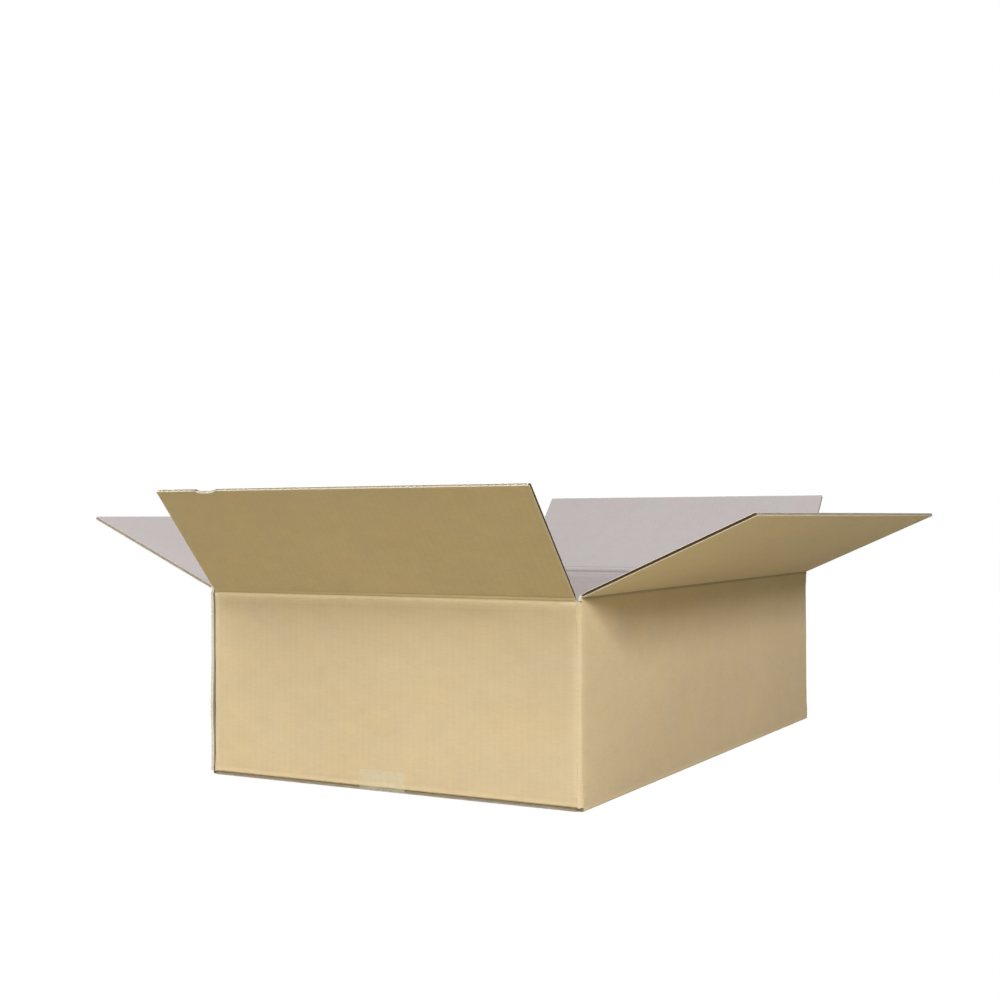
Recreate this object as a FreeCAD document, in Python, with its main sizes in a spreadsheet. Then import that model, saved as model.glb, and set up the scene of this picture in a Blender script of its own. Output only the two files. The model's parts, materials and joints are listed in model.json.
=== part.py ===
import FreeCAD, Part
import Sketcher
import os
import sys

# Open shipping carton of single-wall corrugated board, standing on its closed and taped bottom.
# Millimetres. Origin: middle of the underside. +X to the right along the front wall, +Y to the back, +Z up.
# The short walls are the front and the back, and the long walls are the left and the right.

SIZES = {
    "box_width": 385.0,  # outside, across the long walls
    "box_length": 618.0,  # outside, across the short walls
    "crease_height": 170.0,  # from the floor to the crease of the short walls' flaps
    "board": 3.0,  # thickness of the corrugated board
    "layer_gap": 0.3,  # between two layers of board that lie on each other
    "short_flap": 123.0,  # from crease to free edge, on the short walls
    "closed_gap": 63.0,  # left between the free edges of the two long top flaps when they are shut
    "corner_fold_inside": 1.0,  # inner radius of the upright folds between the walls
    "base_fold_inside": 0.5,  # inner radius of the folds at the bottom
    "short_flap_clearance": 1.0,  # each side of a short flap, from the long walls when it is shut
    "long_flap_inset": 1.8,  # each side of a long flap, from the corner of its wall
    "slot_depth": 1.0,  # how far the slots between the flaps reach below the mitred creases
    "hinge_offset": 0.15,  # of the folding line, outside the wall's outer face
    "crease_gap": 0.35,  # from the folding line to the mitred edge on each side of it
    "edge_setback": 0.8,  # of the left wall's cut edge, behind the front wall's face
    "joint_bevel": 2.4,  # size of the front wall's fold beside that cut edge
    "glue_tab": 35.0,  # width of the tab glued inside the left wall
    "tab_taper": 10.0,  # how much shorter the tab's free edge is, at its top and at its foot
    "bottom_seam": 1.0,  # between the two long bottom flaps
    "tape_width": 48.0,
    "tape_thickness": 0.1,
    "tape_lap": 19.0,  # how far each end of the tape runs up a short wall
    "tape_bend_inside": 1.9,  # inner radius of the tape's turn from wall to underside
    "front_angle": 41.0,  # degrees that the front flap leans out from upright
    "back_angle": 41.0,
    "side_angle": 66.0,  # both long flaps
}

doc = FreeCAD.newDocument("carton")
sheet = doc.addObject("Spreadsheet::Sheet", "Sizes")
for row, (alias, size) in enumerate(SIZES.items(), start=1):
    sheet.set("A%d" % row, alias)
    sheet.set("B%d" % row, str(size))
    sheet.setAlias("B%d" % row, alias)
doc.recompute()

# Lengths worked out from the sheet, as expressions in parentheses.
HALF_WIDTH = "(Sizes.box_width / 2)"
HALF_LENGTH = "(Sizes.box_length / 2)"
BOARD = "Sizes.board"
SHORT_AXIS = "Sizes.crease_height"
LONG_AXIS = "(Sizes.crease_height + Sizes.board + Sizes.layer_gap)"
LONG_FLAP = "((Sizes.box_width - Sizes.closed_gap) / 2)"
CORNER_FOLD = "(Sizes.corner_fold_inside + Sizes.board)"
BASE_FOLD = "(Sizes.base_fold_inside + Sizes.board)"
INNER_LAYER = "(Sizes.board + Sizes.layer_gap)"
RING_FOOT = "(%s + %s + Sizes.slot_depth)" % (INNER_LAYER, BASE_FOLD)
RING_TOP = "(Sizes.crease_height - Sizes.crease_gap - Sizes.board - Sizes.slot_depth)"
MITRE_X = "(Sizes.hinge_offset + Sizes.board)"


def value(expression):
    """The number that an expression on the sheet gives now."""
    return float(sheet.evalExpression(expression))


def new_body(label):
    """An empty body whose label is the sub-part's name."""
    body = doc.addObject("PartDesign::Body", label)
    body.Label = label
    return body


def plane_of(body, role):
    """One of the body's own three origin planes."""
    return next(item for item in body.Origin.OriginFeatures if item.Role == role)


def sketch_on(body, name, role, offset=None):
    """A sketch on an origin plane, moved along the plane's normal by an expression."""
    sketch = body.newObject("Sketcher::SketchObject", name)
    sketch.AttachmentSupport = [(plane_of(body, role), "")]
    sketch.MapMode = "FlatFace"
    if offset:
        sketch.setExpression("AttachmentOffset.Base.z", offset)
    return sketch


def outline(sketch, corners):
    """A closed outline of straight lines. Each corner is a pair of expressions, measured from the sketch's origin."""
    places = [FreeCAD.Vector(value(across), value(up), 0) for across, up in corners]
    first = sketch.GeometryCount
    count = len(places)
    for i in range(count):
        sketch.addGeometry(Part.LineSegment(places[i], places[(i + 1) % count]), False)
    for i in range(count):
        following = first + (i + 1) % count
        sketch.addConstraint(Sketcher.Constraint("Coincident", first + i, 2, following, 1))
    for i, (across, up) in enumerate(corners):
        for kind, expression, size in (("DistanceX", across, places[i].x), ("DistanceY", up, places[i].y)):
            number = sketch.addConstraint(Sketcher.Constraint(kind, -1, 1, first + i, 1, size))
            sketch.setExpression("Constraints[%d]" % number, expression)


def mirrored(corners, flip_across):
    """The same corners on the other side of the sketch's upright axis, where flip_across is true."""
    if not flip_across:
        return corners
    return [("-(%s)" % across, up) for across, up in corners]


def pad(body, name, sketch, length, midplane=False):
    """A pad of a sketch, whose length is an expression."""
    feature = body.newObject("PartDesign::Pad", name)
    feature.Profile = sketch
    feature.Midplane = midplane
    feature.setExpression("Length", length)
    doc.recompute()
    return feature


def edges_at(shape, direction, tests):
    """Names of the straight edges along a direction whose middle passes every test, a pair of axis and place."""
    names = []
    for number, edge in enumerate(shape.Edges, start=1):
        if edge.Curve.TypeId != "Part::GeomLine":
            continue
        run = edge.Vertexes[-1].Point - edge.Vertexes[0].Point
        if run.Length < NEAR or abs(abs(run.normalize().dot(direction)) - 1) > PARALLEL:
            continue
        middle = edge.CenterOfMass
        if all(abs(abs(getattr(middle, axis)) - place) < NEAR for axis, place in tests):
            names.append("Edge%d" % number)
    return names


def round_edges(body, name, direction, tests, radius):
    """A fillet on every edge that the tests find. The radius is an expression."""
    base = body.Tip
    names = edges_at(base.Shape, direction, tests)
    if not names:
        sys.exit("%s found no edge to round" % name)
    feature = body.newObject("PartDesign::Fillet", name)
    feature.Base = (base, names)
    feature.setExpression("Radius", radius)
    doc.recompute()
    return feature


NEAR = 1e-4  # millimetres, for finding an edge by its place
PARALLEL = 1e-6  # slack on the cosine of an edge that runs along an axis
ALONG_X = FreeCAD.Vector(1, 0, 0)
ALONG_Y = FreeCAD.Vector(0, 1, 0)
ALONG_Z = FreeCAD.Vector(0, 0, 1)


def build_carton_body():
    """Four walls, glued tab and folded bottom: one sheet of board, cut and folded."""
    body = new_body("carton_body")
    wall_ring(body)
    long_walls(body)
    short_walls(body)
    glue_tab(body)
    tape_recess(body)
    return body


def wall_ring(body):
    """The four walls as a ring. At the front left the left wall ends in a cut edge beside the front wall's fold."""
    ring = sketch_on(body, "wall_ring_outline", "XY_Plane", RING_FOOT)
    outside = [
        ("-%s + %s + Sizes.joint_bevel" % (HALF_WIDTH, BOARD), "-%s" % HALF_LENGTH),
        (HALF_WIDTH, "-%s" % HALF_LENGTH),
        (HALF_WIDTH, HALF_LENGTH),
        ("-%s" % HALF_WIDTH, HALF_LENGTH),
        ("-%s" % HALF_WIDTH, "-%s + Sizes.edge_setback" % HALF_LENGTH),
        ("-%s + %s" % (HALF_WIDTH, BOARD), "-%s + Sizes.edge_setback" % HALF_LENGTH),
        ("-%s + %s" % (HALF_WIDTH, BOARD), "-%s + Sizes.joint_bevel" % HALF_LENGTH),
    ]
    inner_x = "(%s - %s)" % (HALF_WIDTH, BOARD)
    inner_y = "(%s - %s)" % (HALF_LENGTH, BOARD)
    inside = [
        ("-%s" % inner_x, "-%s" % inner_y),
        (inner_x, "-%s" % inner_y),
        (inner_x, inner_y),
        ("-%s" % inner_x, inner_y),
    ]
    outline(ring, outside)
    outline(ring, inside)
    pad(body, "wall_ring", ring, "%s - %s" % (RING_TOP, RING_FOOT))
    outer_corner = [("x", value(HALF_WIDTH)), ("y", value(HALF_LENGTH))]
    inner_corner = [("x", value(inner_x)), ("y", value(inner_y))]
    round_edges(body, "wall_folds", ALONG_Z, outer_corner, CORNER_FOLD)
    round_edges(body, "wall_folds_inside", ALONG_Z, inner_corner, "Sizes.corner_fold_inside")


def long_walls(body):
    """The foot of each long wall, folded into the outer bottom flap, and its mitred top edge."""
    run = "Sizes.box_length - 2 * %s" % CORNER_FOLD
    inner_x = "(%s - %s)" % (HALF_WIDTH, BOARD)
    foot = [
        (HALF_WIDTH, RING_FOOT),
        (HALF_WIDTH, "0"),
        ("Sizes.bottom_seam / 2", "0"),
        ("Sizes.bottom_seam / 2", BOARD),
        (inner_x, BOARD),
        (inner_x, RING_FOOT),
    ]
    crest = [
        (HALF_WIDTH, RING_TOP),
        (HALF_WIDTH, "%s - Sizes.crease_gap" % LONG_AXIS),
        (inner_x, "%s - Sizes.crease_gap - %s" % (LONG_AXIS, BOARD)),
        (inner_x, RING_TOP),
    ]
    for name, corners in (("long_bottom_flaps", foot), ("long_wall_tops", crest)):
        sketch = sketch_on(body, name + "_outline", "XZ_Plane")
        for flip in (False, True):
            outline(sketch, mirrored(corners, flip))
        pad(body, name, sketch, run, midplane=True)
    outer_fold = [("x", value(HALF_WIDTH)), ("z", 0.0)]
    inner_fold = [("x", value(inner_x)), ("z", value(BOARD))]
    round_edges(body, "long_bottom_folds", ALONG_Y, outer_fold, BASE_FOLD)
    round_edges(body, "long_bottom_folds_inside", ALONG_Y, inner_fold, "Sizes.base_fold_inside")


def short_walls(body):
    """The foot of each short wall, folded into the inner bottom flap, and its mitred top edge."""
    run = "Sizes.box_width - Sizes.board - 2 * %s" % CORNER_FOLD
    inner_y = "(%s - %s)" % (HALF_LENGTH, BOARD)
    flap_top = "(2 * Sizes.board + Sizes.layer_gap)"
    foot = [
        (HALF_LENGTH, RING_FOOT),
        (HALF_LENGTH, INNER_LAYER),
        ("%s - Sizes.short_flap" % HALF_LENGTH, INNER_LAYER),
        ("%s - Sizes.short_flap" % HALF_LENGTH, flap_top),
        (inner_y, flap_top),
        (inner_y, RING_FOOT),
    ]
    crest = [
        (HALF_LENGTH, RING_TOP),
        (HALF_LENGTH, "%s - Sizes.crease_gap" % SHORT_AXIS),
        (inner_y, "%s - Sizes.crease_gap - %s" % (SHORT_AXIS, BOARD)),
        (inner_y, RING_TOP),
    ]
    for name, corners in (("short_bottom_flaps", foot), ("short_wall_tops", crest)):
        sketch = sketch_on(body, name + "_outline", "YZ_Plane", "Sizes.board / 2")
        for flip in (False, True):
            outline(sketch, mirrored(corners, flip))
        pad(body, name, sketch, run, midplane=True)
    outer_fold = [("y", value(HALF_LENGTH)), ("z", value(INNER_LAYER))]
    inner_fold = [("y", value(inner_y)), ("z", value(flap_top))]
    round_edges(body, "short_bottom_folds", ALONG_X, outer_fold, BASE_FOLD)
    round_edges(body, "short_bottom_folds_inside", ALONG_X, inner_fold, "Sizes.base_fold_inside")


def glue_tab(body):
    """The tab that folds back from the front wall and is glued inside the left wall, tapered at both ends."""
    tab = sketch_on(body, "glue_tab_outline", "YZ_Plane", "-%s + %s" % (HALF_WIDTH, BOARD))
    root = "-%s + %s / 2" % (HALF_LENGTH, BOARD)
    free = "-%s + %s + Sizes.glue_tab" % (HALF_LENGTH, BOARD)
    outline(
        tab,
        [
            (root, RING_FOOT),
            (free, "%s + Sizes.tab_taper" % RING_FOOT),
            (free, "%s - Sizes.tab_taper" % RING_TOP),
            (root, RING_TOP),
        ],
    )
    pad(body, "glue_tab", tab, BOARD)


def tape_recess(body):
    """The shallow strip of the underside that the tape presses in, so that board and tape rest level."""
    strip = sketch_on(body, "tape_recess_outline", "XY_Plane", "Sizes.tape_thickness")
    half_tape = "(Sizes.tape_width / 2)"
    outline(
        strip,
        [
            ("-%s" % half_tape, "-%s" % HALF_LENGTH),
            (half_tape, "-%s" % HALF_LENGTH),
            (half_tape, HALF_LENGTH),
            ("-%s" % half_tape, HALF_LENGTH),
        ],
    )
    before = body.Tip.Shape.Volume
    pocket = body.newObject("PartDesign::Pocket", "tape_recess")
    pocket.Profile = strip
    pocket.Reversed = False
    pocket.setExpression("Length", "2 * Sizes.tape_thickness")
    doc.recompute()
    if pocket.Shape.Volume >= before:
        sys.exit("the tape recess cuts nothing")


def build_flap(label, length, width, place, turn, angle):
    """A top flap: a plate hinged at its folding line, mitred at its root so that it can fold in.

    It is drawn upright, with its folding line along the body's X axis and its outer face towards +Y.
    length, width and angle are expressions, place is the middle of the folding line, and turn is the
    angle about Z that brings +Y to the wall's outward side.
    """
    body = new_body(label)
    section = sketch_on(body, label + "_section", "YZ_Plane")
    outline(
        section,
        [
            ("-Sizes.hinge_offset", "Sizes.crease_gap"),
            ("-Sizes.hinge_offset", length),
            ("-%s" % MITRE_X, length),
            ("-%s" % MITRE_X, "Sizes.crease_gap + %s" % BOARD),
        ],
    )
    pad(body, label + "_plate", section, width, midplane=True)
    spot = "vector(%s; %s; %s)" % place
    lean = "rotation(%s; 0; -%s)" % (turn, angle)
    body.setExpression("Placement", "placement(%s; %s)" % (spot, lean))
    return body


def build_short_flap(label, side, angle):
    """The flap of the front wall, side -1, or of the back wall, side 1."""
    width = "Sizes.box_width - %s - 2 * (%s + Sizes.short_flap_clearance)" % (BOARD, BOARD)
    fold = "%d * (%s + Sizes.hinge_offset)" % (side, HALF_LENGTH)
    turn = "0" if side > 0 else "180"
    return build_flap(label, "Sizes.short_flap", width, ("Sizes.board / 2", fold, SHORT_AXIS), turn, angle)


def build_long_flap(label, side):
    """The flap of the left wall, side -1, or of the right wall, side 1."""
    width = "Sizes.box_length - 2 * Sizes.long_flap_inset"
    fold = "%d * (%s + Sizes.hinge_offset)" % (side, HALF_WIDTH)
    turn = "-90" if side > 0 else "90"
    return build_flap(label, LONG_FLAP, width, (fold, "0", LONG_AXIS), turn, "Sizes.side_angle")


def build_bottom_tape():
    """Clear packing tape along the bottom seam, with each end turned up on a short wall."""
    body = new_body("bottom_tape")
    section = sketch_on(body, "tape_section", "YZ_Plane")
    skin = "Sizes.tape_thickness"
    outer_y = "(%s + %s)" % (HALF_LENGTH, skin)
    outline(
        section,
        [
            ("-%s" % outer_y, "Sizes.tape_lap"),
            ("-%s" % outer_y, "0"),
            (outer_y, "0"),
            (outer_y, "Sizes.tape_lap"),
            (HALF_LENGTH, "Sizes.tape_lap"),
            (HALF_LENGTH, skin),
            ("-%s" % HALF_LENGTH, skin),
            ("-%s" % HALF_LENGTH, "Sizes.tape_lap"),
        ],
    )
    pad(body, "tape_strip", section, "Sizes.tape_width", midplane=True)
    inner_turn = [("y", value(HALF_LENGTH)), ("z", value(skin))]
    outer_turn = [("y", value(outer_y)), ("z", 0.0)]
    round_edges(body, "tape_turns_inside", ALONG_X, inner_turn, "Sizes.tape_bend_inside")
    round_edges(body, "tape_turns", ALONG_X, outer_turn, "Sizes.tape_bend_inside + %s" % skin)
    return body


subparts = [
    build_carton_body(),
    build_short_flap("front_flap", -1, "Sizes.front_angle"),
    build_short_flap("back_flap", 1, "Sizes.back_angle"),
    build_long_flap("left_flap", -1),
    build_long_flap("right_flap", 1),
    build_bottom_tape(),
]
doc.recompute()

faults = []
for item in doc.Objects:
    if "Invalid" in item.State or "Error" in item.State:
        faults.append("%s: %s" % (item.Label, item.State))
for part in subparts:
    if part.Shape.isNull() or not part.Shape.isValid():
        faults.append("%s: its shape is null or not valid" % part.Label)
if faults:
    sys.exit("\n".join(faults))

os.makedirs("parts", exist_ok=True)
for part in subparts:
    part.Shape.exportStep(os.path.join("parts", part.Label + ".step"))
    box = part.Shape.BoundBox
    print("%-12s solids %d  volume %.1f mm3  x %.2f..%.2f  y %.2f..%.2f  z %.2f..%.2f" % (
        part.Label, len(part.Shape.Solids), part.Shape.Volume,
        box.XMin, box.XMax, box.YMin, box.YMax, box.ZMin, box.ZMax))
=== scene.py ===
# Open corrugated box with four spread top flaps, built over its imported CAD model
import json
import math

import bmesh
import bpy
import numpy as np
from mathutils import Euler, Matrix, Vector


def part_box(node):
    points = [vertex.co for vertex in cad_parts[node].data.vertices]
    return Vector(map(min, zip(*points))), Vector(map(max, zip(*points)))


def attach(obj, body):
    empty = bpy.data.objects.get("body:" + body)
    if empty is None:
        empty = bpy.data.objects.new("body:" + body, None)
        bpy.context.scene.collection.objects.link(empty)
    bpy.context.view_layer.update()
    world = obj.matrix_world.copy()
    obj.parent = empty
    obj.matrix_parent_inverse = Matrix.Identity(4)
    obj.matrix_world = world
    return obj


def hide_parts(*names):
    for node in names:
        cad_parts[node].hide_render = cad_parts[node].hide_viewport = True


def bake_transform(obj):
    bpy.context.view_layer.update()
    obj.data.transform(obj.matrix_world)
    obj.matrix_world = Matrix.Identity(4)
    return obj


bl_info = {
    "name": "Open Cardboard Box",
    "version": (1, 0, 0),
    "blender": (4, 5, 0),
    "location": "3D View > Sidebar > Carton",
    "description": "Corrugated walls, creased flaps, taped bottom and a studio stage",
    "category": "Object",
}

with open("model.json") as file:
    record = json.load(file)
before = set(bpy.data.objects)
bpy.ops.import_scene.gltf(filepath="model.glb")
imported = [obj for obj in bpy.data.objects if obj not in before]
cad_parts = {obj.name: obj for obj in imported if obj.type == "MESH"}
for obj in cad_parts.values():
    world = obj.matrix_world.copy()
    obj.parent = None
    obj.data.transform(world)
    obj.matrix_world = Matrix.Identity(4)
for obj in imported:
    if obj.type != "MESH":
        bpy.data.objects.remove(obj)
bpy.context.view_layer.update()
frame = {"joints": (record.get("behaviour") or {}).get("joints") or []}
CARTON_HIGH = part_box("carton_body")[1]
TAPE_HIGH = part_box("bottom_tape")[1]
CREASES = {joint["child"]: joint["pos_m"] for joint in frame["joints"]}

HALF_WIDTH = CARTON_HIGH.x
HALF_LENGTH = CARTON_HIGH.y

# Finishes of the board, as numbered on its faces; the fluting between the liners is dark as painted
# shade inside the recessed flutes
OUTSIDE, INSIDE, CUT, SHADED_FLUTES, FLUTE_ENDS, PRESSED = range(6)

# Each side of the box: the way it faces, the way along it, where its middle lies on the flat blank,
# and whether the blank runs with it or against it
SIDES = {
    "left": ((-1, 0, 0), (0, 1, 0), 0.3082, 1),
    "back": ((0, 1, 0), (1, 0, 0), 0.80798, 1),
    "right": ((1, 0, 0), (0, 1, 0), 1.30777, -1),
    "front": ((0, -1, 0), (1, 0, 0), 1.80755, -1),
}
LONG_SIDES = ("left", "right")

# How open each flap's side edges are, and the finish between the liners there: the left flap's are
# crushed nearly shut; the others show the dark fluting, painted shade inside the recess
RECESS = {"left": 0.12, "back": 0.8, "right": 1.0, "front": 0.8}
CORE = {"left": PRESSED, "back": SHADED_FLUTES, "right": SHADED_FLUTES, "front": SHADED_FLUTES}

# Height where the walls end and the folds of the bottom flaps begin
BOTTOM_SEAM = 0.012

# Space at each end of a free edge between the side recess and the first wave
WAVE_MARGIN = 0.0004

# Painted light on a top crease: strength of its pale lip and of its pale strip, both painted
# highlights, then the strength, height above the fold and width of its dark line, painted shade
FRONT_CREASE_PAINTED_LIGHT = (2.3, 0.8, 0.2, 0.0012, 0.0006)
OTHER_CREASE_PAINTED_LIGHT = (0.0, 0.24, 0.34, -0.0003, 0.0014)

# Each lamp's turn to the right of straight in front and climb in degrees, and its distance
KEY_PLACE = (57, 29, 3.2)
HIGH_PLACE = (-18, 54, 2.6)
BACK_PLACE = (192, 14, 3.2)

# Camera, fitted to the corners of the box: its place, and its tilt, turn and roll in radians
CAMERA_PLACE = (0.6943, -1.3511, 0.2377)
CAMERA_TILT, CAMERA_TURN, CAMERA_ROLL = 0.0131, 0.5049, -0.0046


class CartonSizes(bpy.types.PropertyGroup):
    """Sizes of the board, its creases and its flaps"""

    board: bpy.props.FloatProperty(
        name="Board", description="Thickness of the corrugated board",
        default=0.003, unit="LENGTH")
    liner: bpy.props.FloatProperty(
        name="Liner", description="Thickness of each paper liner at a cut edge",
        default=0.00042, unit="LENGTH")
    flute: bpy.props.FloatProperty(
        name="Flute", description="Distance from one wave of the fluting to the next",
        default=0.0066, unit="LENGTH")
    side_recess: bpy.props.FloatProperty(
        name="Side recess", description="How far the fluting lies back from a side edge",
        default=0.0022, unit="LENGTH")
    end_recess: bpy.props.FloatProperty(
        name="End recess", description="Depth of the open flutes at a free edge",
        default=0.0007, unit="LENGTH")
    crease_band: bpy.props.FloatProperty(
        name="Crease band", description="Reach of a pressed crease on either side of its fold",
        default=0.008, unit="LENGTH")
    fold_reach: bpy.props.FloatProperty(
        name="Fold reach", description="Reach of the bend itself on either side of the fold",
        default=0.0018, unit="LENGTH")
    corner: bpy.props.FloatProperty(
        name="Corner radius", description="Outer radius of the upright folds",
        default=0.004, unit="LENGTH")
    short_flap: bpy.props.FloatProperty(
        name="Short flap", description="Length of the front and back flaps from their folds",
        default=0.123, unit="LENGTH")
    long_flap: bpy.props.FloatProperty(
        name="Long flap", description="Length of the left and right flaps from their folds",
        default=0.161, unit="LENGTH")
    short_lean: bpy.props.FloatProperty(
        name="Short flap lean", description="Lean of the front and back flaps from upright",
        default=math.radians(41), subtype="ANGLE")
    long_lean: bpy.props.FloatProperty(
        name="Long flap lean", description="Lean of the left and right flaps from upright",
        default=math.radians(66), subtype="ANGLE")
    tooth: bpy.props.FloatProperty(
        name="Tape tooth", description="Width of one tooth of the tape's torn end",
        default=0.0024, unit="LENGTH")


class CartonColours(bpy.types.PropertyGroup):
    """Colours of the paper and the tape"""

    kraft: bpy.props.FloatVectorProperty(
        name="Kraft", description="Outside liner", subtype="COLOR", default=(0.69, 0.55, 0.355))
    inside: bpy.props.FloatVectorProperty(
        name="Inside", description="Inside liner", subtype="COLOR", default=(0.41, 0.372, 0.37))
    cut: bpy.props.FloatVectorProperty(
        name="Cut paper", description="Cut edge of the liners", subtype="COLOR",
        default=(0.72, 0.66, 0.55))
    # Dark brown that paints the shade inside the recessed flutes at the side edges
    fluting: bpy.props.FloatVectorProperty(
        name="Fluting", description="Waved paper between the liners", subtype="COLOR",
        default=(0.2, 0.135, 0.07))
    flute_end: bpy.props.FloatVectorProperty(
        name="Flute ends", description="Waved paper where a free edge is cut", subtype="COLOR",
        default=(0.52, 0.48, 0.4))
    pressed: bpy.props.FloatVectorProperty(
        name="Pressed edge", description="Side edge that is crushed nearly shut", subtype="COLOR",
        default=(0.37, 0.32, 0.28))
    tape: bpy.props.FloatVectorProperty(
        name="Tape", description="Clear film", subtype="COLOR", default=(0.96, 0.95, 0.76))


class CartonStage(bpy.types.PropertyGroup):
    """Lamps and background"""

    key_power: bpy.props.FloatProperty(
        name="Key lamp", description="Power of the low lamp on the right", default=58.0, unit="POWER")
    key_size: bpy.props.FloatProperty(
        name="Key size", description="Width of the low lamp", default=0.6, unit="LENGTH")
    high_power: bpy.props.FloatProperty(
        name="High lamp", description="Power of the high lamp in front", default=68.0, unit="POWER")
    high_size: bpy.props.FloatProperty(
        name="High size", description="Width of the high and the back lamp", default=1.6, unit="LENGTH")
    back_power: bpy.props.FloatProperty(
        name="Back lamp", description="Power of the low lamp behind", default=26.0, unit="POWER")
    fill: bpy.props.FloatProperty(
        name="Fill", description="Strength of the light from all round", default=0.04)
    floor: bpy.props.FloatProperty(
        name="Floor", description="How white the floor is", default=0.42)
    lens: bpy.props.FloatProperty(
        name="Lens", description="Focal length in millimetres", default=51.44)


def smooth(x):
    """Smooth step: three times x squared less twice x cubed, with x held between 0 and 1."""
    x = np.clip(x, 0.0, 1.0)
    return x * x * (3.0 - 2.0 * x)


def hump(x, middle, width):
    """Bell curve: e to the minus square of the distance from the middle over the width."""
    return np.exp(-(((x - middle) / width) ** 2))


def spread(length, fine, count):
    """Shares from 0 to 1 of a length: the fine distances from either end, even steps between."""
    near = np.array(fine)
    middle = np.linspace(near[-1], length - near[-1], count + 2)[1:-1]
    return np.concatenate([near, middle, (length - near)[::-1]]) / length


def wander(x, seed):
    """Slow irregular line between about -1 and 1: three sines whose lengths share no multiple."""
    turn = np.array([1.7, 4.1, 8.3]) * (1.0 + 0.13 * math.sin(seed))
    swing = np.sin(np.multiply.outer(x, turn * 9.0) + seed * np.array([1.0, 2.3, 4.7]))
    return swing @ np.array([0.5, 0.3, 0.2])


def quads(grid):
    """Four-cornered faces of a grid of vertex numbers: each cell joins its four neighbours."""
    corners = [grid[:-1, :-1], grid[1:, :-1], grid[1:, 1:], grid[:-1, 1:]]
    return np.stack(corners, axis=-1).reshape(-1, 4)


def rungs(near, far):
    """Faces between two lines of vertex numbers with the same count."""
    return np.stack([near[:-1], near[1:], far[1:], far[:-1]], axis=-1)


def slab(outer, inner):
    """Closed sheet between two grids of points: both grids as they are, and four walls on the rim."""
    rows, columns = outer.shape[:2]
    points = np.concatenate([outer.reshape(-1, 3), inner.reshape(-1, 3)])
    top = np.arange(rows * columns).reshape(rows, columns)
    under = top + rows * columns
    rim = np.concatenate([
        rungs(top[0], under[0]),
        rungs(top[-1], under[-1]),
        rungs(top[:, 0], under[:, 0]),
        rungs(top[:, -1], under[:, -1]),
    ])
    faces = np.concatenate([quads(top), quads(under), rim])
    count = len(quads(top))
    paint = np.repeat([OUTSIDE, INSIDE, CUT], [count, count, len(rim)])
    return points, faces.tolist(), paint


def on_side(side, out, up, across):
    """Points of one side of the box: out times its facing, plus across times its run, plus height."""
    facing, run = np.array(SIDES[side][:2], float)
    points = np.multiply.outer(out, facing) + np.multiply.outer(across, run)
    points[..., 2] += up
    return points


def on_blank(side, across, height):
    """Places on the flat blank: along it from the side's middle, and up it."""
    middle, way = SIDES[side][2:]
    across, height = np.broadcast_arrays(across, height)
    return np.stack([middle + way * across, height, np.zeros_like(height)], axis=-1)


def outline(shares, board, liner, core):
    """Closed line round a board's section: along the outside face, round the recessed far edge,
    back along the inside face and round the recessed near edge. Gives the share across, the depth
    below the outside face, the recess as -1, 0 or 1, and the finish of the face after each point.
    core is the finish between the liners."""
    lips = np.array([liner, liner, board - liner, board - liner])
    n = len(shares)
    across = np.concatenate([shares, np.ones(4), shares[::-1], np.zeros(4)])
    depth = np.concatenate([np.zeros(n), lips, np.full(n, board), lips[::-1]])
    recess = np.concatenate([np.zeros(n), [0, -1, -1, 0], np.zeros(n), [0, 1, 1, 0]])
    edge = [CUT, core, core, core, CUT]
    paint = np.concatenate([np.full(n - 1, OUTSIDE), edge, np.full(n - 1, INSIDE), edge])
    return across, depth, recess, paint


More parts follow.
